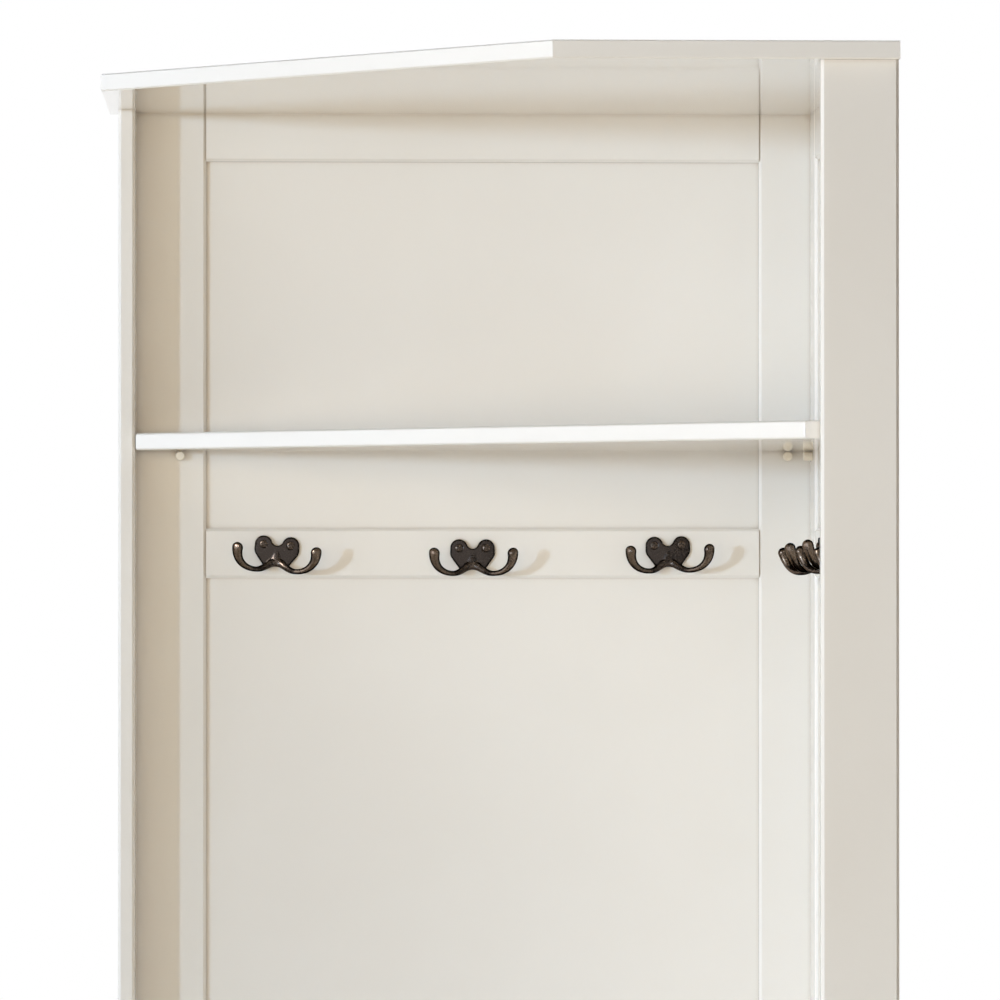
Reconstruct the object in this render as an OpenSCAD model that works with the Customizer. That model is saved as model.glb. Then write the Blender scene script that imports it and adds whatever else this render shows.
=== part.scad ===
// Corner hall tree: two framed walls with cast double hooks, a loose shelf and an open bench.
// The frame's origin is the middle of the footprint on the floor. The walls meet at +X +Y.

/* [Overall] */
// Length of the top along each wall
top_leg = 784; // [720:1:860]
// Height from the floor to the top's upper face
full_h = 1829; // [1750:1:1900]
// Height from the floor to the seat's upper face
seat_h = 457; // [420:1:480]
// Length of the square ends of the top and the seat
slab_end = 337; // [300:1:380]
// How far the top and the seat stand out past the posts
overhang = 12; // [8:1:16]
// Thickness of the top, the shelf, the seat and the posts
board_t = 18; // [16:1:20]
// Width of the flat on the edges of boards
board_ease = 1.5; // [0.5:0.5:2]

/* [Wall frames] */
// Thickness of stiles and rails
frame_t = 20; // [18:1:22]
// Width of the posts
post_w = 76; // [65:1:85]
// Width of the stiles
stile_w = 76; // [65:1:85]
// Height of the top rails
top_rail_h = 52; // [45:1:60]
// Height of the hook rails
hook_rail_h = 54; // [50:1:60]
// Height of the bottom rails
bottom_rail_h = 76; // [60:1:90]
// Drop from the top's lower face to the hook rails' upper edge
hook_rail_drop = 451; // [440:1:470]
// Thickness of the loose panels in the frames
panel_t = 6; // [5:0.5:7]
// Depth of the panels' faces behind the frames' faces
panel_recess = 7.5; // [6:0.5:8]
// Width of the flat along the frames' visible edges
frame_ease = 3; // [2:0.5:4]

/* [Shelf] */
// Drop from the top's lower face to the shelf's lower face
shelf_drop = 367; // [340:1:380]
// Length of the shelf's square ends
shelf_end = 70; // [64:1:90]
// Gap between the shelf and what stands round it
shelf_gap = 1; // [0.5:0.5:2]
// Diameter of the pegs' heads
peg_d = 10; // [8:1:12]
// How far the pegs stand out from the frames
peg_reach = 10; // [8:1:14]
// Distance from the posts to the outer pegs
peg_from_post = 48; // [40:1:55]
// Distance from the walls' corner to the inner pegs
peg_from_corner = 25; // [20:1:30]

/* [Hooks] */
// Distance between neighbouring hooks
hook_pitch = 213; // [200:1:220]
// Distance from the walls' corner to the middle hooks
hook_mid = 368.5; // [350:0.5:380]
// Drop from a hook rail's upper edge to the hooks' upper edge
hook_drop = 10; // [7:1:12]
// Width of a hook over its two prongs
hook_w = 97; // [90:1:100]
// Height of a hook
hook_h = 40; // [38:1:42]
// How far the prongs stand out from the rail
hook_reach = 45; // [42:1:48]
// Distance between a hook's two screws
screw_spacing = 29.5; // [28:0.5:31]
// Radius of the round lobes of the back plate
lobe_r = 9.4; // [9:0.1:10]
// Thickness of the back plate at its middle
plate_t = 5.5; // [5:0.1:6]
// Lean of the left wall's hooks, raising the end nearer to the corner
left_leans = [-3.8, 0, 1.3]; // [-4.5:0.1:4.5]
// Lean of the right wall's hooks, raising the end nearer to the corner
right_leans = [-3, -4.2, -3.3]; // [-4.5:0.1:4.5]
// How much higher than level each of the left wall's hooks was screwed on
left_lifts = [1.6, -1.7, 1.4]; // [-4:0.1:4]
// How much higher than level each of the right wall's hooks was screwed on
right_lifts = [0.5, 3, 0.7]; // [-4:0.1:4]

/* [Bench] */
// Width of the front stiles
bench_stile_w = 50; // [40:1:60]
// Height of the front rail
front_rail_h = 45; // [35:1:60]
// Height of the base rail
base_rail_h = 32; // [25:1:40]
// Height of the toe kick
toe_h = 64; // [60:1:80]
// Depth of the toe kick behind the front
toe_back = 30; // [25:1:50]
// Thickness of the bench's back boards
back_t = 6; // [4:1:8]

/* [Hidden] */

$fn = 48;
paint = "#ece6dc";
raw_wood = "#d9b98a";
bronze = "#4a3d36";
steel = "#b9bcc0";
cream = "#e8dfca";

// Overlap of a cutting shape past the face that it opens
cut = 1;
// Play on each side of panels and tongues in their grooves
groove_play = 0.2;
// Depth of the grooves, and how far panels and tongues reach into them
groove_d = 9;
tongue = 8;

// The walls' corner: faces of the frames at inner, backs of the frames at half
half = top_leg / 2;
inner = half - frame_t;
// Distance from the walls' corner to the posts
wall_len = top_leg - frame_t - overhang - board_t;
post_reach = post_w - frame_t;
top_z = full_h - board_t;
hutch_h = top_z - seat_h;
rail_from = stile_w - frame_t;
rail_len = wall_len - stile_w - rail_from;
hook_rail_z = top_z - hook_rail_drop - hook_rail_h;
shelf_z = top_z - shelf_drop;

// Shelf pegs: stem in the stile, rim of the head, dimple in its face
peg_stem_r = 2.5;
peg_stem_l = 9;
peg_rim = 0.8;
peg_dimple_r = 1.2;
peg_seat_gap = 0.3;

// Dowels and their holes, and how far one reaches into a board and into a frame
dowel_r = 4;
dowel_play = 0.05;
dowel_in_board = 11;
dowel_in_frame = 17;
frame_mid = frame_t / 2;
post_mid = wall_len + board_t / 2;
post_dowel_zs = [seat_h + 100, seat_h + hutch_h / 2, top_z - 100];

// Screws: pilot is the hole that the thread bites into
thread_r = 2;
pilot_r = 1.5;
clear_r = 2.2;
head_r = 4.3;
head_cone = 2.3;
head_dome = 1.7;
head_play = 0.1;
flat_dome = 0.01;
flat_sink = 0.3;
hook_screw_l = 19;
long_screw_l = 45;
corner_screw_zs = [seat_h + 60, seat_h + hutch_h / 2, top_z - 140];
seat_screw_us = [180, 540];
seat_screw_v = 7;

// Back plate of a hook, measured down from the top of its lobes: a heart whose cheeks
// are rounded below the lobes and run in to the foot at the flank's angle
plate_h = 32;
valley_drop = 10.3;
cheek_r = 10;
cheek_p = [14.4, -14.7];
flank_angle = 36;
crown_r = 145;
crown_rim = 36;
crown_step = 6;
valley_r = (pow(screw_spacing / 2, 2) + pow(lobe_r - valley_drop, 2) - pow(lobe_r, 2))
    / (2 * valley_drop);
flank_top = cheek_p + cheek_r * [cos(flank_angle), -sin(flank_angle)];
flank_foot = flank_top[0] - (plate_h + flank_top[1]) * tan(flank_angle);

// Prongs: half width and half thickness at the root, at the lowest point and at the tip,
// how square their section is, from 1 for an ellipse towards 0, and how late it widens
root_half = [4, 4.6];
low_half = [3.4, 2.9];
tip_half = [6.4, 5.2];
squareness = 0.88;
tip_growth = 1.4;
tip_cap = 5.6;
prong_splay = 45;
prong_steps = 12;
cap_steps = 4;
prong_sides = 12;
root_p = [0, -4.2, -28.6];
low_p = [21.5, -21, low_half[1] - hook_h];
tip_out = 6;
tip_p = [hook_w / 2 - tip_out, tip_out - hook_reach, -14.6];
root_pull = [8, 0, 0];
low_pull = [9, -7.8, 0];
low_push = [13.5, -10, 0];
tip_pull = [-1.2, -4, 13];
rise = [root_p, root_p + root_pull, low_p - low_pull, low_p];
sweep = [low_p, low_p + low_push, tip_p - tip_pull, tip_p];

// Keel between the middle of a hook's plate and the root of its prongs: half a cone on end
keel_z = -29;
keel_h = 17;
keel_foot_r = 8.3;
keel_top_r = 5;

// Bench: sum of the distances from the walls' corner to any point of the front's face
front_sum = 2 * wall_len + 2 * board_t - (top_leg - slab_end) + 2 * overhang
    - overhang * sqrt(2);
front_half = (wall_len + board_t - front_sum / 2) * sqrt(2);
bench_z = seat_h - board_t;
bay_z = toe_h + board_t;
mitre = board_t * tan(22.5);
corner_depth = front_sum / sqrt(2) + (frame_t - back_t) * sqrt(2);
end_reach = front_sum - wall_len - board_t;
end_inner_reach = end_reach - mitre;
seat_dowel_vs = [-60, -240];
base_dowel_vs = [-40, -240];

// ---- Places ----

// Draws its children on a wall: X runs from the walls' corner to the post, Y runs into the wall
module on_wall(side) {
    if (side == "left")
        translate([inner, inner, 0]) mirror([1, 0, 0]) children();
    else
        mirror([1, -1, 0]) translate([inner, inner, 0]) mirror([1, 0, 0]) children();
}

// Draws its children on the bench's front: X runs along it, Y runs to the walls' corner
module on_front() {
    translate([inner - front_sum / 2, inner - front_sum / 2, 0]) rotate([0, 0, -45]) children();
}

// Draws its children at hook i of a wall, with Z = 0 at the top of its lobes
module at_hook(side, i) {
    lean = side == "left" ? left_leans[i] : right_leans[i];
    lift = side == "left" ? left_lifts[i] : right_lifts[i];
    lobe_z = hook_rail_z + hook_rail_h - hook_drop + lift;
    translate([hook_mid + (1 - i) * hook_pitch, 0, lobe_z - hook_h / 2])
        rotate([0, lean, 0]) translate([0, 0, hook_h / 2]) children();
}

// Draws its children at a hook's two screws, with Z pointing out of the wall
module at_hook_screws() {
    for (s = [-1, 1])
        translate([s * screw_spacing / 2, 0, -lobe_r]) rotate([90, 0, 0]) children();
}

// Draws its children at a wall's two pegs, with Z pointing out of the wall
module at_pegs() {
    for (u = [peg_from_corner, wall_len - peg_from_post])
        translate([u, 0, shelf_z - peg_d / 2 - peg_seat_gap]) rotate([90, 0, 0]) children();
}

// ---- Boards ----

// Corner points of a slab with its square corner at (c, c)
function slab_points(c, leg, end) =
    [[c, c], [c - leg, c], [c - leg, c - end], [c - end, c - leg], [c, c - leg]];

// Wedge that eases the lower edge of a board from p to q, with the board on the left
module edge_cut(p, q, ease) {
    run = q - p;
    translate([p[0], p[1], 0]) rotate([0, 0, atan2(run[1], run[0])]) translate([-ease, 0, 0])
        rotate([90, 0, 90]) linear_extrude(norm(run) + 2 * ease)
            polygon([[-cut, -cut], [ease + cut, -cut], [-cut, ease + cut]]);
}

// Pentagon board with its three front edges eased above and below
module slab(c, leg, end) {
    points = slab_points(c, leg, end);
    difference() {
        linear_extrude(board_t) polygon(points);
        for (i = [1 : 3]) {
            edge_cut(points[i], points[i + 1], board_ease);
            translate([0, 0, board_t]) mirror([0, 0, 1])
                edge_cut(points[i], points[i + 1], board_ease);
        }
    }
}

// Rectangle with its four corners eased
module eased_rect(w, d, ease) {
    polygon([
        [ease, 0], [w - ease, 0], [w, ease], [w, d - ease],
        [w - ease, d], [ease, d], [0, d - ease], [0, ease]
    ]);
}

// Board along X, with its four long edges eased
module bar(l, d, h, ease) {
    rotate([90, 0, 90]) linear_extrude(l) eased_rect(d, h, ease);
}

// ---- Frame members ----

// Cuts the eased edge and the panel groove at X = 0 of a member's section
module panel_edge() {
    polygon([[-cut, -cut], [frame_ease + cut, -cut], [-cut, frame_ease + cut]]);
    translate([-cut, panel_recess]) square([groove_d + cut, panel_t + 2 * groove_play]);
}

// Section of a stile or rail: X across it, Y into the wall, panels at the low or high edge
module member_section(w, low, high) {
    difference() {
        square([w, frame_t]);
        if (low) panel_edge();
        if (high) translate([w, 0]) mirror([1, 0]) panel_edge();
    }
}

// Stile that stands on the seat
module stile(w, low, high) {
    translate([0, 0, seat_h]) linear_extrude(hutch_h) member_section(w, low, high);
}

// Rail between the stiles, with a tongue at each end
module rail(h, low, high) {
    tongue_z = low ? groove_d : 0;
    tongue_h = h - tongue_z - (high ? groove_d : 0);
    rotate([90, 0, 90]) linear_extrude(rail_len) mirror([1, -1]) member_section(h, low, high);
    for (x = [-tongue, rail_len])
        translate([x, panel_recess + groove_play, tongue_z]) cube([tongue, panel_t, tongue_h]);
}

// Panel that reaches into the grooves round an opening from z0 to z1
module panel(z0, z1) {
    color(paint)
        translate([rail_from - tongue, panel_recess + groove_play, z0 - tongue])
            cube([rail_len + 2 * tongue, panel_t, z1 - z0 + 2 * tongue]);
}

// ---- Fasteners ----

module dowel_hole() {
    translate([0, 0, -dowel_in_frame - cut])
        cylinder(r = dowel_r + dowel_play, h = dowel_in_frame + dowel_in_board + 2 * cut);
}

// Fluted-pin blank with eased ends, reaching up into a board and down into a frame
module dowel() {
    ease = 1;
    l = dowel_in_frame + dowel_in_board;
    translate([0, 0, -dowel_in_frame]) rotate_extrude()
        polygon([[0, 0], [dowel_r - ease, 0], [dowel_r, ease],
                 [dowel_r, l - ease], [dowel_r - ease, l], [0, l]]);
}

// Section of a screw whose head's rim lies at Y = 0
function screw_section(l, dome) = concat(
    [[0, -l], [thread_r, 3 * thread_r - l], [thread_r, thread_r - head_cone - head_r + clear_r],
     [clear_r - 0.2, -head_cone], [head_r, 0]],
    [for (a = [15 : 15 : 75]) [head_r * cos(a), dome * sin(a)]],
    [[0, dome]]
);

// Cross-slot screw that points down, with its head's rim at Z = 0
module screw(l, dome, turn) {
    slot = [1.3, 5.2, 2.4];
    difference() {
        rotate_extrude() polygon(screw_section(l, dome));
        for (a = [turn, turn + 90])
            rotate([0, 0, a]) translate([-slot[0] / 2, -slot[1] / 2, dome - 1.5]) cube(slot);
    }
}

// Clearance hole through a board of thickness t whose face is at Z = 0, for a head sunk by sink
module countersink(t, sink) {
    rim_r = head_r + head_play;
    translate([0, 0, -t - cut]) cylinder(r = clear_r, h = t + cut);
    translate([0, 0, -sink]) rotate_extrude() polygon([
        [0, -head_cone - head_play], [clear_r, -head_cone - head_play],
        [rim_r, 0], [rim_r, sink + cut], [0, sink + cut]
    ]);
}

module pilot_hole(l) {
    translate([0, 0, -l]) cylinder(r = pilot_r, h = l + cut);
}

// ---- Hutch ----

module top_panel() {
    color(paint) difference() {
        translate([0, 0, top_z]) slab(half, top_leg, slab_end);
        at_top_dowels("left") dowel_hole();
        at_top_dowels("right") dowel_hole();
    }
}

// Draws its children at a wall's joints with the top
module at_top_dowels(side) {
    corner_u = side == "left" ? (rail_from - frame_t) / 2 : rail_from / 2;
    on_wall(side) {
        for (u = [corner_u, rail_from + rail_len / 2, wall_len - stile_w / 2])
            translate([u, frame_mid, top_z]) children();
        translate([post_mid, frame_t - post_w / 2, top_z]) children();
    }
}

// Draws its children at a wall's joints between post and stile
module at_post_dowels(side) {
    on_wall(side)
        for (z = post_dowel_zs)
            translate([wall_len, frame_mid, z]) rotate([0, 90, 0]) children();
}

module at_corner_screws() {
    on_wall("left")
        for (z = corner_screw_zs)
            translate([-frame_mid, frame_t, z]) rotate([-90, 0, 0]) children();
}

module at_seat_screws(side) {
    on_wall(side)
        for (u = seat_screw_us)
            translate([u, seat_screw_v, bench_z]) mirror([0, 0, 1]) children();
}

module post(side) {
    color(paint) difference() {
        on_wall(side) translate([wall_len, -post_reach, seat_h])
            linear_extrude(hutch_h) eased_rect(board_t, post_w, frame_ease);
        at_top_dowels(side) dowel_hole();
        at_post_dowels(side) dowel_hole();
    }
}

module outer_stile(side) {
    color(paint) difference() {
        on_wall(side) translate([wall_len - stile_w, 0, 0]) stile(stile_w, true, false);
        at_top_dowels(side) dowel_hole();
        at_post_dowels(side) dowel_hole();
        on_wall(side) at_pegs() peg_hole();
    }
}

// The left one runs on behind the right wall's frame
module corner_stile(side) {
    behind = side == "left" ? frame_t : 0;
    color(paint) difference() {
        on_wall(side) translate([-behind, 0, 0]) stile(rail_from + behind, false, true);
        at_top_dowels(side) dowel_hole();
        on_wall(side) at_pegs() peg_hole();
        if (side == "left")
            at_corner_screws() countersink(frame_t, flat_sink);
        else
            at_corner_screws() pilot_hole(long_screw_l);
    }
}

module top_rail(side) {
    color(paint) difference() {
        on_wall(side) translate([rail_from, 0, top_z - top_rail_h]) rail(top_rail_h, true, false);
        at_top_dowels(side) dowel_hole();
    }
}

module hook_rail(side) {
    color(paint) on_wall(side) difference() {
        translate([rail_from, 0, hook_rail_z]) rail(hook_rail_h, true, true);
        for (i = [0 : 2])
            at_hook(side, i) at_hook_screws() pilot_hole(hook_screw_l - plate_t);
    }
}

module bottom_rail(side) {
    color(paint) difference() {
        on_wall(side) translate([rail_from, 0, seat_h]) rail(bottom_rail_h, false, true);
        at_seat_screws(side) pilot_hole(long_screw_l);
    }
}

module upper_panel(side) {
    on_wall(side) panel(hook_rail_z + hook_rail_h, top_z - top_rail_h);
}

module lower_panel(side) {
    on_wall(side) panel(seat_h + bottom_rail_h, hook_rail_z);
}

// ---- Hooks ----

// Point and direction at t on a curve with four control points
function curve_point(c, t) = pow(1 - t, 3) * c[0] + 3 * pow(1 - t, 2) * t * c[1]
    + 3 * (1 - t) * t * t * c[2] + pow(t, 3) * c[3];
function curve_run(c, t) = pow(1 - t, 2) * (c[1] - c[0]) + 2 * (1 - t) * t * (c[2] - c[1])
    + t * t * (c[3] - c[2]);
function unit(v) = v / norm(v);

function squared(v) = sign(v) * pow(abs(v), squareness);

// Ring of a prong: centre c, direction run, turned by splay, with half width and thickness
function prong_ring(c, run, splay, size) =
    let (
        dir = unit(run),
        face = unit(cross(dir, [sin(splay), cos(splay), 0])),
        side = cross(face, dir)
    )
    [for (j = [0 : prong_sides - 1])
        let (a = 360 * j / prong_sides)
        c + size[0] * squared(cos(a)) * side + size[1] * squared(sin(a)) * face];

// The rings from the root to the lowest point, on to the tip, and round the tip's end
rise_rings = [for (k = [0 : prong_steps - 1])
    let (t = k / prong_steps)
    prong_ring(curve_point(rise, t), curve_run(rise, t), prong_splay * t,
               root_half + (low_half - root_half) * t)];
sweep_rings = [for (k = [0 : prong_steps])
    let (t = k / prong_steps)
    prong_ring(curve_point(sweep, t), curve_run(sweep, t), prong_splay,
               low_half + (tip_half - low_half) * pow(t, tip_growth))];
cap_rings = [for (k = [1 : cap_steps])
    let (a = 90 * k / (cap_steps + 1))
    prong_ring(tip_p + tip_cap * sin(a) * unit(tip_pull), tip_pull, prong_splay,
               tip_half * cos(a))];
prong_rings = concat(rise_rings, sweep_rings, cap_rings);
prong_end = tip_p + tip_cap * unit(tip_pull);

function mirrored(p) = [-p[0], p[1], p[2]];

// Both prongs as one swept strap, from the tip at -X to the tip at +X
module prongs() {
    last = len(prong_rings) - 1;
    rings = concat([for (i = [last : -1 : 1]) [for (p = prong_rings[i]) mirrored(p)]], prong_rings);
    n = prong_sides;
    count = len(rings);
    points = concat([for (r = rings) each r], [mirrored(prong_end), prong_end]);
    walls = [for (i = [0 : count - 2], j = [0 : n - 1])
        let (a = i * n + j, b = i * n + (j + 1) % n)
        each [[a, a + n, b], [b, a + n, b + n]]];
    first_cap = [for (j = [0 : n - 1]) [count * n, j, (j + 1) % n]];
    last_cap = [for (j = [0 : n - 1])
        [count * n + 1, (count - 1) * n + (j + 1) % n, (count - 1) * n + j]];
    polyhedron(points, concat(walls, first_cap, last_cap), convexity = 4);
}

// Outline of the back plate: two lobes, a rounded valley between them and straight flanks
module plate_outline() {
    difference() {
        union() {
            for (s = [-1, 1]) scale([s, 1]) {
                translate([screw_spacing / 2, -lobe_r]) circle(lobe_r);
                translate(cheek_p) circle(cheek_r);
                polygon([
                    [0, -plate_h], [flank_foot, -plate_h], flank_top,
                    cheek_p + [cheek_r, 0], [screw_spacing / 2 + lobe_r, -lobe_r],
                    [screw_spacing / 2, -lobe_r], [0, valley_r - valley_drop]
                ]);
            }
        }
        translate([0, valley_r - valley_drop]) circle(valley_r);
    }
}

// Height of the crowned face at distance x from the plate's middle
function crown(x) = plate_t - crown_r + sqrt(pow(crown_r, 2) - pow(x, 2));

module back_plate() {
    intersection() {
        rotate([90, 0, 0]) linear_extrude(plate_t + cut) plate_outline();
        translate([0, 0, -plate_h / 2]) rotate([90, 0, 0]) rotate_extrude($fn = 96)
            polygon(concat([[0, -cut], [crown_rim, -cut]],
                           [for (x = [crown_rim : -crown_step : 0]) [x, crown(x)]]));
    }
}

// The swell that carries the plate's middle into the prongs
module keel() {
    intersection() {
        translate([0, 0, keel_z]) cylinder(r1 = keel_foot_r, r2 = keel_top_r, h = keel_h);
        translate([-keel_foot_r, -2 * keel_foot_r, keel_z])
            cube([2 * keel_foot_r, 2 * keel_foot_r, keel_h]);
    }
}

// Height of the crowned face at the screws
screw_seat = crown(norm([screw_spacing / 2, plate_h / 2 - lobe_r]));

module hook(side, i) {
    color(bronze) on_wall(side) at_hook(side, i) difference() {
        union() {
            back_plate();
            keel();
            prongs();
        }
        at_hook_screws() translate([0, 0, screw_seat]) countersink(screw_seat, 0);
    }
}

module hook_screws() {
    color(bronze)
        for (side = ["left", "right"], i = [0 : 2])
            on_wall(side) at_hook(side, i) at_hook_screws()
                translate([0, 0, screw_seat]) screw(hook_screw_l, head_dome, 20 + 37 * i);
}

// ---- Shelf ----

module shelf() {
    color(paint) translate([0, 0, shelf_z])
        slab(inner - shelf_gap, wall_len - 2 * shelf_gap, shelf_end - shelf_gap);
}

module peg_hole() {
    translate([0, 0, -peg_stem_l - cut])
        cylinder(r = peg_stem_r + dowel_play, h = peg_stem_l + 2 * cut);
}

module peg() {
    r = peg_d / 2;
    rotate_extrude() polygon([
        [0, -peg_stem_l], [peg_stem_r, -peg_stem_l], [peg_stem_r, 0], [r, 0],
        [r, peg_reach - peg_rim], [r - peg_rim, peg_reach],
        [peg_dimple_r, peg_reach], [peg_dimple_r, peg_reach - 1], [0, peg_reach - 1]
    ]);
}

module shelf_pegs() {
    color(cream)
        for (side = ["left", "right"])
            on_wall(side) at_pegs() peg();
}

// ---- Hidden fasteners of the hutch ----

module top_dowels() {
    color(raw_wood)
        for (side = ["left", "right"])
            at_top_dowels(side) dowel();
}

module post_dowels() {
    color(raw_wood)
        for (side = ["left", "right"])
            at_post_dowels(side) dowel();
}

module corner_screws() {
    color(steel) at_corner_screws()
        translate([0, 0, -flat_sink]) screw(long_screw_l, flat_dome, 0);
}

module seat_screws() {
    color(steel)
        for (side = ["left", "right"])
            at_seat_screws(side) translate([0, 0, -flat_sink])
                screw(long_screw_l, flat_dome, 0);
}

// ---- Bench ----

// Draws its children at an end board's joints with the seat
module at_seat_dowels(side) {
    on_wall(side)
        for (v = seat_dowel_vs)
            translate([post_mid, v, bench_z]) children();
    on_front() translate([front_sign(side) * (front_half - bench_stile_w / 2), board_t / 2, bench_z])
        children();
}

// Draws its children at an end board's joints with the bottom
module at_base_dowels(side) {
    on_wall(side)
        for (v = base_dowel_vs)
            translate([wall_len, v, toe_h + board_t / 2]) rotate([0, 90, 0]) children();
}

function front_sign(side) = side == "left" ? -1 : 1;

module bench_seat() {
    color(paint) difference() {
        translate([0, 0, bench_z]) slab(half, top_leg, slab_end);
        for (side = ["left", "right"]) {
            at_seat_dowels(side) dowel_hole();
            at_seat_screws(side) countersink(board_t, flat_sink);
        }
    }
}

module bench_end(side) {
    color(paint) difference() {
        on_wall(side) linear_extrude(bench_z) polygon([
            [wall_len, frame_t], [wall_len + board_t, frame_t],
            [wall_len + board_t, -end_reach], [wall_len, -end_inner_reach]
        ]);
        at_seat_dowels(side) dowel_hole();
        at_base_dowels(side) dowel_hole();
    }
}

module bench_back(side) {
    behind = side == "left" ? frame_t : frame_t - back_t;
    color(paint) on_wall(side) translate([-behind, frame_t - back_t, 0])
        cube([wall_len + behind, back_t, bench_z]);
}

module bench_bottom() {
    step = frame_t - back_t;
    color(paint) difference() {
        translate([0, 0, toe_h]) linear_extrude(board_t)
            polygon(slab_points(inner + step, wall_len + step, end_inner_reach + step));
        at_base_dowels("left") dowel_hole();
        at_base_dowels("right") dowel_hole();
    }
}

module bench_divider() {
    color(paint) on_front() translate([-board_t / 2, board_t, bay_z])
        cube([board_t, corner_depth - 1.5 * board_t, bench_z - bay_z]);
}

module bench_stile(side) {
    color(paint) difference() {
        on_front() scale([front_sign(side), 1, 1]) linear_extrude(bench_z) polygon([
            [front_half, 0], [front_half - mitre, board_t],
            [front_half - bench_stile_w, board_t], [front_half - bench_stile_w, 0]
        ]);
        at_seat_dowels(side) dowel_hole();
    }
}

// Rail between the front stiles with its lower face at z
module front_bar(z, h) {
    l = 2 * (front_half - bench_stile_w);
    color(paint) on_front() translate([-l / 2, 0, z]) bar(l, board_t, h, board_ease);
}

module toe_kick() {
    near = front_half - mitre - board_t + toe_back;
    far = near + board_t;
    color(paint) on_front() linear_extrude(toe_h) polygon([
        [-near, toe_back], [near, toe_back],
        [far, toe_back + board_t], [-far, toe_back + board_t]
    ]);
}

module bench_dowels() {
    color(raw_wood)
        for (side = ["left", "right"]) {
            at_seat_dowels(side) dowel();
            at_base_dowels(side) dowel();
        }
}

top_panel();
post("left");  // left_post
post("right");  // right_post
outer_stile("left");  // left_outer_stile
corner_stile("left");  // left_corner_stile
top_rail("left");  // left_top_rail
hook_rail("left");  // left_hook_rail
bottom_rail("left");  // left_bottom_rail
upper_panel("left");  // left_upper_panel
lower_panel("left");  // left_lower_panel
outer_stile("right");  // right_outer_stile
corner_stile("right");  // right_corner_stile
top_rail("right");  // right_top_rail
hook_rail("right");  // right_hook_rail
bottom_rail("right");  // right_bottom_rail
upper_panel("right");  // right_upper_panel
lower_panel("right");  // right_lower_panel
hook("left", 0);  // left_hook_1
hook("left", 1);  // left_hook_2
hook("left", 2);  // left_hook_3
hook("right", 0);  // right_hook_1
hook("right", 1);  // right_hook_2
hook("right", 2);  // right_hook_3
hook_screws();
shelf();
shelf_pegs();
top_dowels();
post_dowels();
corner_screws();
bench_seat();
bench_end("left");  // bench_left_end
bench_end("right");  // bench_right_end
bench_back("left");  // bench_left_back
bench_back("right");  // bench_right_back
bench_bottom();
bench_divider();
bench_stile("left");  // bench_left_stile
bench_stile("right");  // bench_right_stile
front_bar(bench_z - front_rail_h, front_rail_h);  // bench_front_rail
front_bar(bay_z - base_rail_h, base_rail_h);  // bench_base_rail
toe_kick();
bench_dowels();
seat_screws();
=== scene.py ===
"""Looks of the corner hall tree: satin paint on the boards, oiled bronze hooks, cream pegs."""

import math

import bpy
import numpy as np
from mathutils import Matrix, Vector
from mathutils.kdtree import KDTree

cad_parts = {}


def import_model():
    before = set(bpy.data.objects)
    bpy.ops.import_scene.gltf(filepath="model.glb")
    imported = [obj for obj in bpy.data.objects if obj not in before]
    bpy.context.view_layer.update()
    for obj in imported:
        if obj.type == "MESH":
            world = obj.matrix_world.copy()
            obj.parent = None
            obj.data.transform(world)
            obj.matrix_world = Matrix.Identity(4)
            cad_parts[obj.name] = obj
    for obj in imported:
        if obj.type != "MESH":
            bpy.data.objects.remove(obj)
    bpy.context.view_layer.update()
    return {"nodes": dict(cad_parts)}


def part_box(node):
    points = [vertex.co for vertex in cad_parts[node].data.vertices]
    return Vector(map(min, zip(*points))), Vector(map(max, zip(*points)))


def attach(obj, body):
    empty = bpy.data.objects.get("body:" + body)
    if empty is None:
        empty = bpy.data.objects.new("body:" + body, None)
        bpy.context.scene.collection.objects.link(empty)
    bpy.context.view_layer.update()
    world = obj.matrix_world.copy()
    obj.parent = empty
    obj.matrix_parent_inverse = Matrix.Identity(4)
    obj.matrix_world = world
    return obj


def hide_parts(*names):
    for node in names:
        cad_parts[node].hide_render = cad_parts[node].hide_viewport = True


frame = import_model()
nodes = frame["nodes"]

# Lengths are in metres, and colours are linear
MM = 0.001
QUARTER_TURN = math.radians(90)

# Places taken from the frame: the front faces of the two walls' hook rails, whose planes meet
# at the corner, and the underside of the top
CORNER_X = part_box("right_hook_rail")[0][0]
CORNER_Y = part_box("left_hook_rail")[0][1]
TOP_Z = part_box("top_panel")[0][2]


def linked(name, data):
    """A new object, put into the scene."""
    obj = bpy.data.objects.new(name, data)
    bpy.context.collection.objects.link(obj)
    return obj


# ---- Material building blocks ----

# The values between which nearly all of a noise lies
NOISE_SPAN = (0.3, 0.7)


def new_material(name):
    """An empty node material and its Principled shader."""
    mat = bpy.data.materials.new(name)
    mat.use_nodes = True
    return mat, mat.node_tree, mat.node_tree.nodes["Principled BSDF"]


def add(tree, kind, **values):
    """A node with its sockets or settings filled in by name."""
    node = tree.nodes.new(kind)
    for key, value in values.items():
        if key in node.inputs:
            node.inputs[key].default_value = value
        else:
            setattr(node, key, value)
    return node


def mapped(tree, turn=(0, 0, 0), stretch=(1, 1, 1)):
    """Object coordinates, turned and stretched."""
    coords = add(tree, "ShaderNodeTexCoord")
    mapping = add(tree, "ShaderNodeMapping", Rotation=turn, Scale=stretch)
    tree.links.new(coords.outputs["Object"], mapping.inputs["Vector"])
    return mapping.outputs["Vector"]


def noise(tree, vector, scale, detail=2.0, roughness=0.5):
    """Smooth random values with about scale features to the metre."""
    node = add(tree, "ShaderNodeTexNoise", Scale=scale, Detail=detail, Roughness=roughness)
    tree.links.new(vector, node.inputs["Vector"])
    return node.outputs["Fac"]


def occlusion(tree, distance, inside):
    """1 on open faces, and less in crevices, or along edges where inside is true."""
    node = add(tree, "ShaderNodeAmbientOcclusion", Distance=distance, inside=inside, samples=6)
    return node.outputs["AO"]


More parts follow.
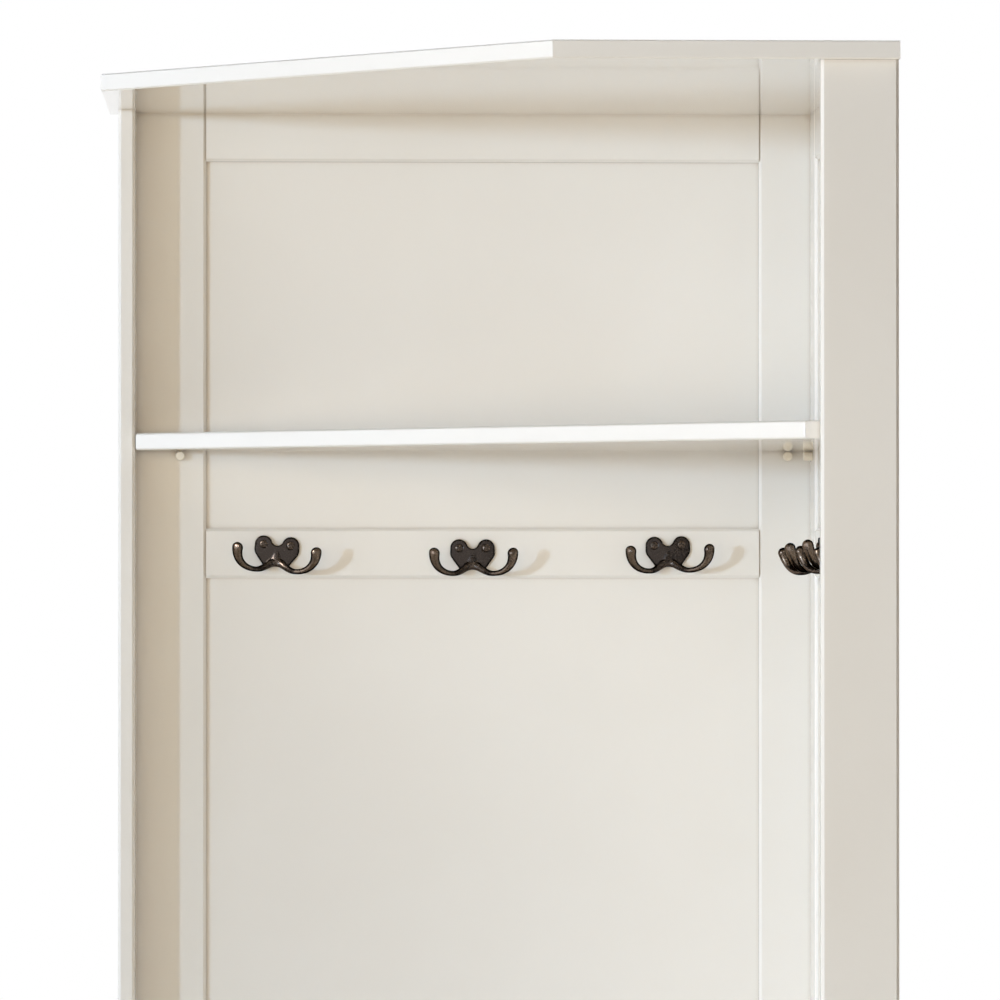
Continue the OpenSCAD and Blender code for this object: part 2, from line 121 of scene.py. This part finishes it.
def layer(tree, name):
    """A value that the mesh stores for each of its points."""
    return add(tree, "ShaderNodeAttribute", attribute_name=name).outputs["Fac"]


def ranged(tree, value, low, high, to_low=0.0, to_high=1.0):
    """value mapped smoothly from low..high to to_low..to_high."""
    node = add(tree, "ShaderNodeMapRange", interpolation_type="SMOOTHSTEP")
    for name, number in (("From Min", low), ("From Max", high),
                         ("To Min", to_low), ("To Max", to_high)):
        node.inputs[name].default_value = number
    tree.links.new(value, node.inputs["Value"])
    return node.outputs["Result"]


def blend(tree, factor, a, b):
    """Colour a where factor is 0 and b where it is 1. a and b are colours or sockets."""
    node = add(tree, "ShaderNodeMix", data_type="RGBA")
    tree.links.new(factor, node.inputs["Factor"])
    for name, colour in (("A", a), ("B", b)):
        socket = [s for s in node.inputs if s.name == name and s.type == "RGBA"][0]
        if isinstance(colour, tuple):
            socket.default_value = (*colour, 1.0)
        else:
            tree.links.new(colour, socket)
    return [s for s in node.outputs if s.type == "RGBA"][0]


def math_node(tree, operation, a, b):
    """The result of operation on a and b, which are numbers or sockets."""
    node = add(tree, "ShaderNodeMath", operation=operation)
    for socket, value in zip(node.inputs, (a, b)):
        if isinstance(value, (int, float)):
            socket.default_value = value
        else:
            tree.links.new(value, socket)
    return node.outputs["Value"]


def bump(tree, heights):
    """Chained bumps. heights is a list of (socket, strength, depth)."""
    normal = None
    for height, strength, depth in heights:
        node = add(tree, "ShaderNodeBump", Strength=strength, Distance=depth)
        tree.links.new(height, node.inputs["Height"])
        if normal is not None:
            tree.links.new(normal, node.inputs["Normal"])
        normal = node.outputs["Normal"]
    return normal


def finish(tree, shader, colour, roughness, heights):
    """Links a surface's colour, roughness and bumps to its shader."""
    tree.links.new(colour, shader.inputs["Base Color"])
    tree.links.new(roughness, shader.inputs["Roughness"])
    tree.links.new(bump(tree, heights), shader.inputs["Normal"])


def mix_shaders(tree, factor, a, b, output):
    """Shows shader a where factor is 0 and b where it is 1, on the named output node."""
    mix = add(tree, "ShaderNodeMixShader")
    tree.links.new(factor, mix.inputs["Fac"])
    tree.links.new(a, mix.inputs[1])
    tree.links.new(b, mix.inputs[2])
    tree.links.new(mix.outputs["Shader"], tree.nodes[output].inputs["Surface"])


# ---- Paint ----

# A fade is a pair: the value at which something starts to show, and the one at which it shows
# in full
PAINT = (0.875, 0.845, 0.795)
# Soft patches of warmer paint
PAINT_WARM = (0.855, 0.82, 0.765)
PATCH_SCALE = 3.2
PATCH_FADE = (0.35, 0.68)
# Painted shade: a warm brown that darkens the grooves and corners
CREVICE_SHADE = (0.50, 0.42, 0.33)
SHADE_REACH = 9 * MM
SHADE_FADE = (0.75, 0.25)
SHADE_AMOUNT = 0.55
# Paint rubbed thin along the edges, here and there
RUBBED_EDGE = (0.88, 0.86, 0.83)
EDGE_REACH = 2.2 * MM
EDGE_FADE = (0.85, 0.45)
EDGE_AMOUNT = 0.5
WEAR_SCALE = 26.0
WEAR_FADE = (0.42, 0.62)
# Gloss that varies a little, and the fine relief of the board's grain and of the spray
GLOSS_SCALE = 40.0
GLOSS_SPREAD = 0.01
BOARD_STRETCH = (1, 1, 0.02)
BOARD_SCALE = 420.0
SPRAY_SCALE = 300.0
RELIEF_STRENGTH = 0.01
SATIN = dict(roughness=0.17, relief=0.02 * MM, coat=0.0)
LACQUER = dict(roughness=0.07, relief=0.004 * MM, coat=0.6)
# Turns that lay a board's length along the texture's Z
ALONG_Z = (0, 0, 0)
ALONG_X = (0, QUARTER_TURN, 0)
ALONG_Y = (QUARTER_TURN, 0, 0)
ALONG_FRONT = (QUARTER_TURN, 0, QUARTER_TURN / 2)


def sprayed_paint(name, turn, roughness, relief, coat):
    """Sprayed paint over board. relief is the depth of its fine grain, and coat is the weight
    of the clear layer on it."""
    mat, tree, shader = new_material(name)
    plain = mapped(tree)
    along = mapped(tree, turn, BOARD_STRETCH)
    patches = ranged(tree, noise(tree, plain, PATCH_SCALE, detail=3.0), *PATCH_FADE)
    colour = blend(tree, patches, PAINT, PAINT_WARM)
    # Painted shade: occlusion darkens the grooves and corners towards a warm brown
    painted_shade = ranged(tree, occlusion(tree, SHADE_REACH, inside=False), *SHADE_FADE)
    colour = blend(tree, math_node(tree, "MULTIPLY", painted_shade, SHADE_AMOUNT), colour, CREVICE_SHADE)
    edge = ranged(tree, occlusion(tree, EDGE_REACH, inside=True), *EDGE_FADE)
    worn = ranged(tree, noise(tree, plain, WEAR_SCALE, detail=3.0), *WEAR_FADE)
    rubbed = math_node(tree, "MULTIPLY", math_node(tree, "MULTIPLY", edge, worn), EDGE_AMOUNT)
    colour = blend(tree, rubbed, colour, RUBBED_EDGE)
    gloss = ranged(tree, noise(tree, plain, GLOSS_SCALE), *NOISE_SPAN,
                   roughness - GLOSS_SPREAD, roughness + GLOSS_SPREAD)
    grain = noise(tree, along, BOARD_SCALE, detail=4.0, roughness=0.6)
    spray = noise(tree, plain, SPRAY_SCALE)
    finish(tree, shader, colour, gloss,
           [(grain, RELIEF_STRENGTH, relief), (spray, RELIEF_STRENGTH, relief)])
    shader.inputs["Coat Weight"].default_value = coat
    return mat


# ---- Bronze ----

# Near black for rims and hollows: the bronze's patina, which also stands in for painted shade
PATINA_AND_SHADE = (0.012, 0.0095, 0.0075)
BRONZE = (0.058, 0.047, 0.041)
COPPER = (0.165, 0.122, 0.090)
GRAZING_TINT = (0.30, 0.27, 0.24, 1.0)

# The castings' noises. The fine one shifts the mesh's layers by up to the mottle
FINE_SCALE = 520.0
BROAD_SCALE = 90.0
FACE_MOTTLE = 0.18
FACE_FADE = (0.2, 0.75)
COPPER_MOTTLE = 0.15
COPPER_FADE = (0.1, 0.95)
# The broad one weakens the copper in patches, down to this
COPPER_PATCHES = (0.28, 0.60)
LEAST_COPPER = 0.55
CAST_ROUGHNESS = (0.22, 0.36)
# Strengths and depths of bumps
CAST_GRAIN = (0.25, 0.12 * MM)
CAST_WAVES = (0.3, 0.3 * MM)
FINE_GRAIN = (0.2, 0.1 * MM)

SCREW_SCALE = 420.0
SCREW_TONES = (0.2, 0.8)
SCREW_ROUGHNESS = (0.26, 0.36)
SLOT_REACH = 1.4 * MM
SLOT_FADE = (0.42, 0.70)


def make_metal(shader):
    """Bare metal that stays brown where it is seen at a grazing angle."""
    shader.inputs["Metallic"].default_value = 1.0
    shader.inputs["Specular Tint"].default_value = GRAZING_TINT


def oiled_bronze(name):
    """Cast bronze, near black on its rims, which is patina and painted shade, and copper on the
    prongs' broad faces, which is partly rubbed wear and partly a painted highlight, as the mesh's
    own two layers say."""
    mat, tree, shader = new_material(name)
    coords = mapped(tree)
    fine = noise(tree, coords, FINE_SCALE, detail=4.0, roughness=0.62)
    broad = noise(tree, coords, BROAD_SCALE, detail=3.0)
    face = math_node(tree, "ADD", layer(tree, "face"),
                     ranged(tree, fine, *NOISE_SPAN, -FACE_MOTTLE, FACE_MOTTLE))
    # Near black on the rims: patina, and painted shade where they turn away from the front
    colour = blend(tree, ranged(tree, face, *FACE_FADE), PATINA_AND_SHADE, BRONZE)
    # Copper, partly rubbed wear and partly a painted highlight on the sides that face the front
    rub_and_highlight = math_node(tree, "MULTIPLY", layer(tree, "rub_and_highlight"),
                    ranged(tree, broad, *COPPER_PATCHES, LEAST_COPPER, 1.0))
    rub_and_highlight = math_node(tree, "ADD", rub_and_highlight,
                    ranged(tree, fine, *NOISE_SPAN, -COPPER_MOTTLE, COPPER_MOTTLE))
    colour = blend(tree, ranged(tree, rub_and_highlight, *COPPER_FADE), colour, COPPER)
    finish(tree, shader, colour, ranged(tree, fine, *NOISE_SPAN, *CAST_ROUGHNESS),
           [(fine, *CAST_GRAIN), (broad, *CAST_WAVES)])
    make_metal(shader)
    return mat


def screw_bronze(name):
    """The hooks' bronze on the screw heads, near black in their slots and round their rims:
    patina, and painted shade in these recesses.
    """
    mat, tree, shader = new_material(name)
    grain = noise(tree, mapped(tree), SCREW_SCALE, detail=3.0, roughness=0.6)
    colour = blend(tree, ranged(tree, grain, *NOISE_SPAN, *SCREW_TONES), COPPER, BRONZE)
    # Painted shade with the patina: occlusion darkens the slots and the rims where the heads meet
    # the plate
    open_face = ranged(tree, occlusion(tree, SLOT_REACH, inside=False), *SLOT_FADE)
    colour = blend(tree, open_face, PATINA_AND_SHADE, colour)
    finish(tree, shader, colour, ranged(tree, grain, *NOISE_SPAN, *SCREW_ROUGHNESS),
           [(grain, *FINE_GRAIN)])
    make_metal(shader)
    return mat


# ---- Plastic, wood and zinc ----

SPECKLE_FADE = (0.35, 0.65)
SPECKLE_GLOSS = 0.05
CREAM_TONES = ((0.97, 0.90, 0.77), (0.93, 0.85, 0.71))
BEECH_TONES = ((0.70, 0.52, 0.33), (0.55, 0.37, 0.20))
BEECH_STRETCH = (1, 1, 0.1)
ZINC_TONES = ((0.66, 0.66, 0.64), (0.52, 0.52, 0.52))


def speckled(name, tones, roughness, scale, metallic=0.0, stretch=(1, 1, 1)):
    """A surface of a light and a dark tone with fine bump."""
    mat, tree, shader = new_material(name)
    coords = mapped(tree, stretch=stretch)
    grain = noise(tree, coords, scale, detail=4.0, roughness=0.6)
    colour = blend(tree, ranged(tree, grain, *SPECKLE_FADE), *tones)
    gloss = ranged(tree, grain, *NOISE_SPAN, roughness - SPECKLE_GLOSS, roughness + SPECKLE_GLOSS)
    finish(tree, shader, colour, gloss, [(grain, *FINE_GRAIN)])
    shader.inputs["Metallic"].default_value = metallic
    return mat


# ---- The materials ----

UPRIGHT = sprayed_paint("satin_paint_upright", ALONG_Z, **SATIN)
LEVEL_X = sprayed_paint("satin_paint_along_x", ALONG_X, **SATIN)
LEVEL_Y = sprayed_paint("satin_paint_along_y", ALONG_Y, **SATIN)
SLANTED = sprayed_paint("satin_paint_across_front", ALONG_FRONT, **SATIN)
SMOOTH = sprayed_paint("satin_paint_smooth", ALONG_X, **LACQUER)
OILED_BRONZE = oiled_bronze("oiled_bronze")
SCREW_BRONZE = screw_bronze("screw_bronze")
CREAM = speckled("cream_plastic", CREAM_TONES, roughness=0.35, scale=300.0)
BEECH = speckled("bare_beech", BEECH_TONES, roughness=0.6, scale=260.0, stretch=BEECH_STRETCH)
ZINC = speckled("zinc_plate", ZINC_TONES, roughness=0.35, scale=900.0, metallic=1.0)


# ---- The boards, pegs and fasteners: CAD nodes with softened edges ----

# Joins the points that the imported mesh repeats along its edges
WELD_REACH = 0.02 * MM
BOARD_EASE = 0.7 * MM
PEG_EASE = 0.35 * MM
SCREW_EASE = 0.12 * MM
EASE_SEGMENTS = 3
# Edges that turn by less than this stay as they are
LEAST_TURN = math.radians(30)

FASTENERS = {
    "hook_screws": (SCREW_BRONZE, SCREW_EASE),
    "shelf_pegs": (CREAM, PEG_EASE),
    "top_dowels": (BEECH, 0),
    "post_dowels": (BEECH, 0),
    "bench_dowels": (BEECH, 0),
    "corner_screws": (ZINC, 0),
    "seat_screws": (ZINC, 0),
}
HOOKS = [f"{side}_hook_{i}" for side in ("left", "right") for i in (1, 2, 3)]


def dress(name, mat, ease):
    """Gives a CAD node its material, and rounds its edges by ease."""
    node = nodes[name]
    node.data.materials.clear()
    node.data.materials.append(mat)
    weld = node.modifiers.new("weld", "WELD")
    weld.merge_threshold = WELD_REACH
    if ease:
        soft = node.modifiers.new("soft_edges", "BEVEL")
        soft.width = ease
        soft.segments = EASE_SEGMENTS
        soft.limit_method = "ANGLE"
        soft.angle_limit = LEAST_TURN
        soft.harden_normals = True


def board_paint(name):
    """The paint whose grain runs along this board."""
    if name in ("bench_front_rail", "bench_base_rail", "toe_kick"):
        return SLANTED
    if name in ("top_panel", "shelf"):
        return SMOOTH
    if name in ("bench_seat", "bench_bottom"):
        return LEVEL_X
    if name.endswith("rail"):
        return LEVEL_X if name.startswith("left") else LEVEL_Y
    return UPRIGHT


for name in nodes:
    if name in FASTENERS:
        dress(name, *FASTENERS[name])
    elif name not in HOOKS:
        dress(name, board_paint(name), BOARD_EASE)


# ---- The cast hooks ----

CAST_VOXEL = 0.55 * MM
SMOOTHING = 0.5
SMOOTHING_PASSES = 12

# The pairs are fades too. An out is a distance from the wall, and a facing is how far a point's
# normal looks a given way, from -1 to 1.
PLATE_T = 5.5 * MM
# The prongs rise from the plate's face, and are clear of it after this
ROOT_RISE = 3 * MM
PRONG_OUT = (PLATE_T, PLATE_T + ROOT_RISE)
# The plate's rim and its screw holes, which lie this near the wall and look away sideways
RIM_OUT = 4.5 * MM
RIM_FACING = 0.6
RIM_DARK = (0.9 * MM, 2.3 * MM)
PLATE_FACING = (0.6, 0.9)
# The prongs' common root turns into prongs between these distances from the hook's middle
ROOT_WIDTH = (7 * MM, 19 * MM)
ROOT_FACING = (-0.3, 0.3)
ROOT_UP = 0.5
ROOT_COPPER = 0.45
ROOT_COPPER_FACING = (-0.1, 0.5)
# Copper shows on the sides of the prongs that look off the wall, further out a little sideways
# too, and on the sides that look to the front: partly wear from coats, partly a painted highlight
# where they face the lamps
COPPER_TURN = math.radians(7)
COPPER_TURN_OUT = (8 * MM, 30 * MM)
COPPER_FACING = (0.48, 0.86)
FRONT_HIGHLIGHT_FACING = (0.66, 0.92)
# The copper grows from this share at the wall to all of it at the tips
INNER_COPPER = 0.2
OUTER_COPPER_OUT = (14 * MM, 32 * MM)


def cast_mesh(name):
    """The CAD hook's form with every edge and joint rounded, as a casting has them."""
    rough = linked(f"rough_{name}", nodes[name].data.copy())
    skin = rough.modifiers.new("one_skin", "REMESH")
    skin.mode = "VOXEL"
    skin.voxel_size = CAST_VOXEL
    skin.use_smooth_shade = True
    smooth = rough.modifiers.new("cast_edges", "SMOOTH")
    smooth.factor = SMOOTHING
    smooth.iterations = SMOOTHING_PASSES
    graph = bpy.context.evaluated_depsgraph_get()
    mesh = bpy.data.meshes.new_from_object(rough.evaluated_get(graph))
    bpy.data.objects.remove(rough)
    return mesh


def step(low, high, value):
    """0 below low, 1 above high and smooth between them."""
    t = np.clip((value - low) / (high - low), 0, 1)
    return t * t * (3 - 2 * t)


def points_of(mesh):
    """The places and the normals of a mesh's points, a row each."""
    place = np.empty(3 * len(mesh.vertices), np.float32)
    normal = np.empty(3 * len(mesh.vertices), np.float32)
    mesh.vertices.foreach_get("co", place)
    mesh.vertex_normals.foreach_get("vector", normal)
    return place.reshape(-1, 3), normal.reshape(-1, 3)


def rim_distance(place, out, n_out):
    """How far each point near the plate is from the plate's rim, and 1 m for the other points."""
    rim = place[(out < RIM_OUT) & (n_out < RIM_FACING)]
    tree = KDTree(len(rim))
    for i, spot in enumerate(rim):
        tree.insert(spot, i)
    tree.balance()
    distance = np.ones(len(place), np.float32)
    for i in np.flatnonzero(out < PLATE_T + ROOT_RISE):
        distance[i] = tree.find(place[i])[2]
    return distance


def wear(place, normal, out_axis, wall, middle):
    """Two values for each point of a hook: face, 1 on flat faces and 0 on rims, whose dark is
    patina and painted shade, and a second value for how far copper shows, partly as wear from
    coats and partly as a painted highlight on the sides that face the front. wall is the place of
    the rail's face along out_axis, and middle is the hook's own place along the wall."""
    out = wall - place[:, out_axis]
    across = place[:, 1 - out_axis] - middle
    n_out = -normal[:, out_axis]
    n_across = normal[:, 1 - out_axis] * np.sign(across)
    n_front = -normal[:, 1]
    n_up = normal[:, 2]

    # The plate is dark along its rim and round its screws: patina, and painted shade on the sides
    # that turn away from the front
    plate_face = step(*RIM_DARK, rim_distance(place, out, n_out)) * step(*PLATE_FACING, n_out)

    turn = COPPER_TURN * step(*COPPER_TURN_OUT, out)
    facing = n_out * np.cos(turn) + n_across * np.sin(turn)
    # Copper where the sides look off the wall or to the front: wear, and a painted highlight
    rubbed = np.maximum(step(*COPPER_FACING, facing), step(*FRONT_HIGHLIGHT_FACING, n_front))
    root = 1 - step(*ROOT_WIDTH, np.abs(across))
    # On the root, the sides that look off the wall or up stay bronze and those that look down go
    # dark: painted shade below it
    prong_face = np.maximum(rubbed, root * step(*ROOT_FACING, n_out + ROOT_UP * n_up))
    prong = step(*PRONG_OUT, out)

    face = plate_face * (1 - prong) + prong_face * prong
    growth = INNER_COPPER + (1 - INNER_COPPER) * step(*OUTER_COPPER_OUT, out)
    rub_and_highlight = rubbed * (1 - root) * growth * prong
    rub_and_highlight += ROOT_COPPER * root * step(*ROOT_COPPER_FACING, n_out) * prong
    return face, rub_and_highlight


def cast_hook(name):
    """The piece that stands for a CAD hook."""
    out_axis = 1 if name.startswith("left") else 0
    wall = (CORNER_X, CORNER_Y)[out_axis]
    low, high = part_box(name)
    middle = (low[1 - out_axis] + high[1 - out_axis]) / 2
    mesh = cast_mesh(name)
    face, rub_and_highlight = wear(*points_of(mesh), out_axis, wall, middle)
    for title, values in (("face", face), ("rub_and_highlight", rub_and_highlight)):
        mesh.attributes.new(title, "FLOAT", "POINT").data.foreach_set("value", values)
    mesh.materials.clear()
    mesh.materials.append(OILED_BRONZE)
    hook = linked(f"cast_{name}", mesh)
    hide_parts(name)
    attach(hook, "root")


for name in HOOKS:
    cast_hook(name)


# ---- Floor and background ----

WHITE = (1.0, 1.0, 1.0, 1)
FLOOR_GREY = (0.86, 0.86, 0.85, 1)
FLOOR_ROUGHNESS = 0.85
FLOOR_RADIUS = 4.5
FLOOR_CORNERS = 96
# The floor fades to white between these distances from its middle
FLOOR_FADE = (1.0, 3.4)
AMBIENT = 0.05


def floor():
    """Pale floor that fades to white away from the object."""
    bpy.ops.mesh.primitive_circle_add(vertices=FLOOR_CORNERS, radius=FLOOR_RADIUS,
                                      fill_type="NGON")
    disc = bpy.context.object
    disc.name = "floor"
    mat, tree, shader = new_material("floor")
    shader.inputs["Base Color"].default_value = FLOOR_GREY
    shader.inputs["Roughness"].default_value = FLOOR_ROUGHNESS
    white = add(tree, "ShaderNodeEmission", Color=WHITE, Strength=1.0)
    path = add(tree, "ShaderNodeLightPath")
    length = add(tree, "ShaderNodeVectorMath", operation="LENGTH")
    tree.links.new(mapped(tree), length.inputs[0])
    far = ranged(tree, length.outputs["Value"], *FLOOR_FADE)
    faded = math_node(tree, "MULTIPLY", far, path.outputs["Is Camera Ray"])
    mix_shaders(tree, faded, shader.outputs["BSDF"], white.outputs["Emission"],
                "Material Output")
    disc.data.materials.append(mat)


def world():
    """White to the camera, in reflections and through glass, and a little ambient light to
    everything else."""
    sky = bpy.data.worlds.new("studio")
    sky.use_nodes = True
    bpy.context.scene.world = sky
    tree = sky.node_tree
    ambient = tree.nodes["Background"]
    ambient.inputs["Color"].default_value = WHITE
    ambient.inputs["Strength"].default_value = AMBIENT
    white = add(tree, "ShaderNodeBackground", Color=WHITE, Strength=1.0)
    path = add(tree, "ShaderNodeLightPath")
    seen = math_node(tree, "MAXIMUM", path.outputs["Is Camera Ray"],
                     math_node(tree, "MAXIMUM", path.outputs["Is Glossy Ray"],
                               path.outputs["Is Transmission Ray"]))
    mix_shaders(tree, seen, ambient.outputs["Background"], white.outputs["Background"],
                "World Output")


# ---- Lamps ----

# Distant lamps. Angles are in degrees: azimuth 0 is straight in front and positive to the left,
# and softness is how wide the lamp looks. The key casts the clear shadows, the side lamp the
# soft ones, and the back lamp lights the backs, the top and the floor.
KEY = dict(azimuth=42, height=2, strength=0.98, softness=3, colour=(0.51, 0.73, 1.0))
SIDE = dict(azimuth=70, height=0, strength=1.10, softness=50, colour=(0.85, 0.90, 1.0))
BACK = dict(azimuth=225, height=50, strength=2.0, softness=12, colour=(1.0, 0.98, 0.93))
# These two show as highlights only
LEFT_GLINT = dict(azimuth=58, height=32, strength=4.0, softness=22, colour=(1.0, 0.98, 0.96))
FRONT_GLINT = dict(azimuth=12, height=38, strength=2.6, softness=12, colour=(1.0, 0.98, 0.96))

# Soft boxes in front of the object, warmer than the key
LEFT_PANEL = dict(place=(-1.6, -3.0, 1.5), size=(2.0, 1.0), watts=22, colour=(1.0, 0.95, 0.79))
FRONT_PANEL = dict(place=(-0.3, -3.2, 1.5), size=(1.6, 0.9), watts=14, colour=(1.0, 0.64, 0.24))
PANELS_AIM = (0, 0, 1.6)


def sun(name, azimuth, height, strength, softness, colour):
    """A distant lamp, which is returned."""
    azimuth, height = math.radians(azimuth), math.radians(height)
    lamp = bpy.data.lights.new(name, "SUN")
    lamp.energy = strength
    lamp.angle = math.radians(softness)
    lamp.color = colour
    obj = linked(name, lamp)
    towards = Vector((-math.sin(azimuth) * math.cos(height),
                      -math.cos(azimuth) * math.cos(height), math.sin(height)))
    obj.rotation_euler = towards.to_track_quat("Z", "Y").to_euler()
    return obj


def panel(name, place, size, watts, colour):
    """A soft box, which lights the object without showing in its paint."""
    lamp = bpy.data.lights.new(name, "AREA")
    lamp.shape = "RECTANGLE"
    lamp.size, lamp.size_y = size
    lamp.energy = watts
    lamp.color = colour
    obj = linked(name, lamp)
    obj.location = place
    away = obj.location - Vector(PANELS_AIM)
    obj.rotation_euler = away.to_track_quat("Z", "Y").to_euler()
    obj.visible_camera = False
    obj.visible_glossy = False


# ---- Camera ----

# It stands left of the corner and far off, level with the hooks, and looks a little to the
# right and up
EYE_LEFT = 0.5956
EYE_BACK = 6.7232
EYE_DOWN = 0.4810
EYE_TURN = math.radians(2.19)
EYE_PITCH = math.radians(0.52)
LENS_MM = 222.6
VIEW_LIMIT = 100


def camera():
    """The photo's view, through a long lens."""
    lens = bpy.data.cameras.new("camera")
    lens.lens = LENS_MM
    lens.clip_end = VIEW_LIMIT
    obj = linked("camera", lens)
    obj.location = (CORNER_X - EYE_LEFT, CORNER_Y - EYE_BACK, TOP_Z - EYE_DOWN)
    obj.rotation_euler = (QUARTER_TURN + EYE_PITCH, 0, -EYE_TURN)
    bpy.context.scene.camera = obj


floor()
world()
sun("key", **KEY)
sun("side", **SIDE)
sun("back", **BACK)
for name, glint in (("left_glint", LEFT_GLINT), ("front_glint", FRONT_GLINT)):
    sun(name, **glint).visible_diffuse = False
panel("left_panel", **LEFT_PANEL)
panel("front_panel", **FRONT_PANEL)
camera()
bpy.context.scene.view_settings.view_transform = "Standard"
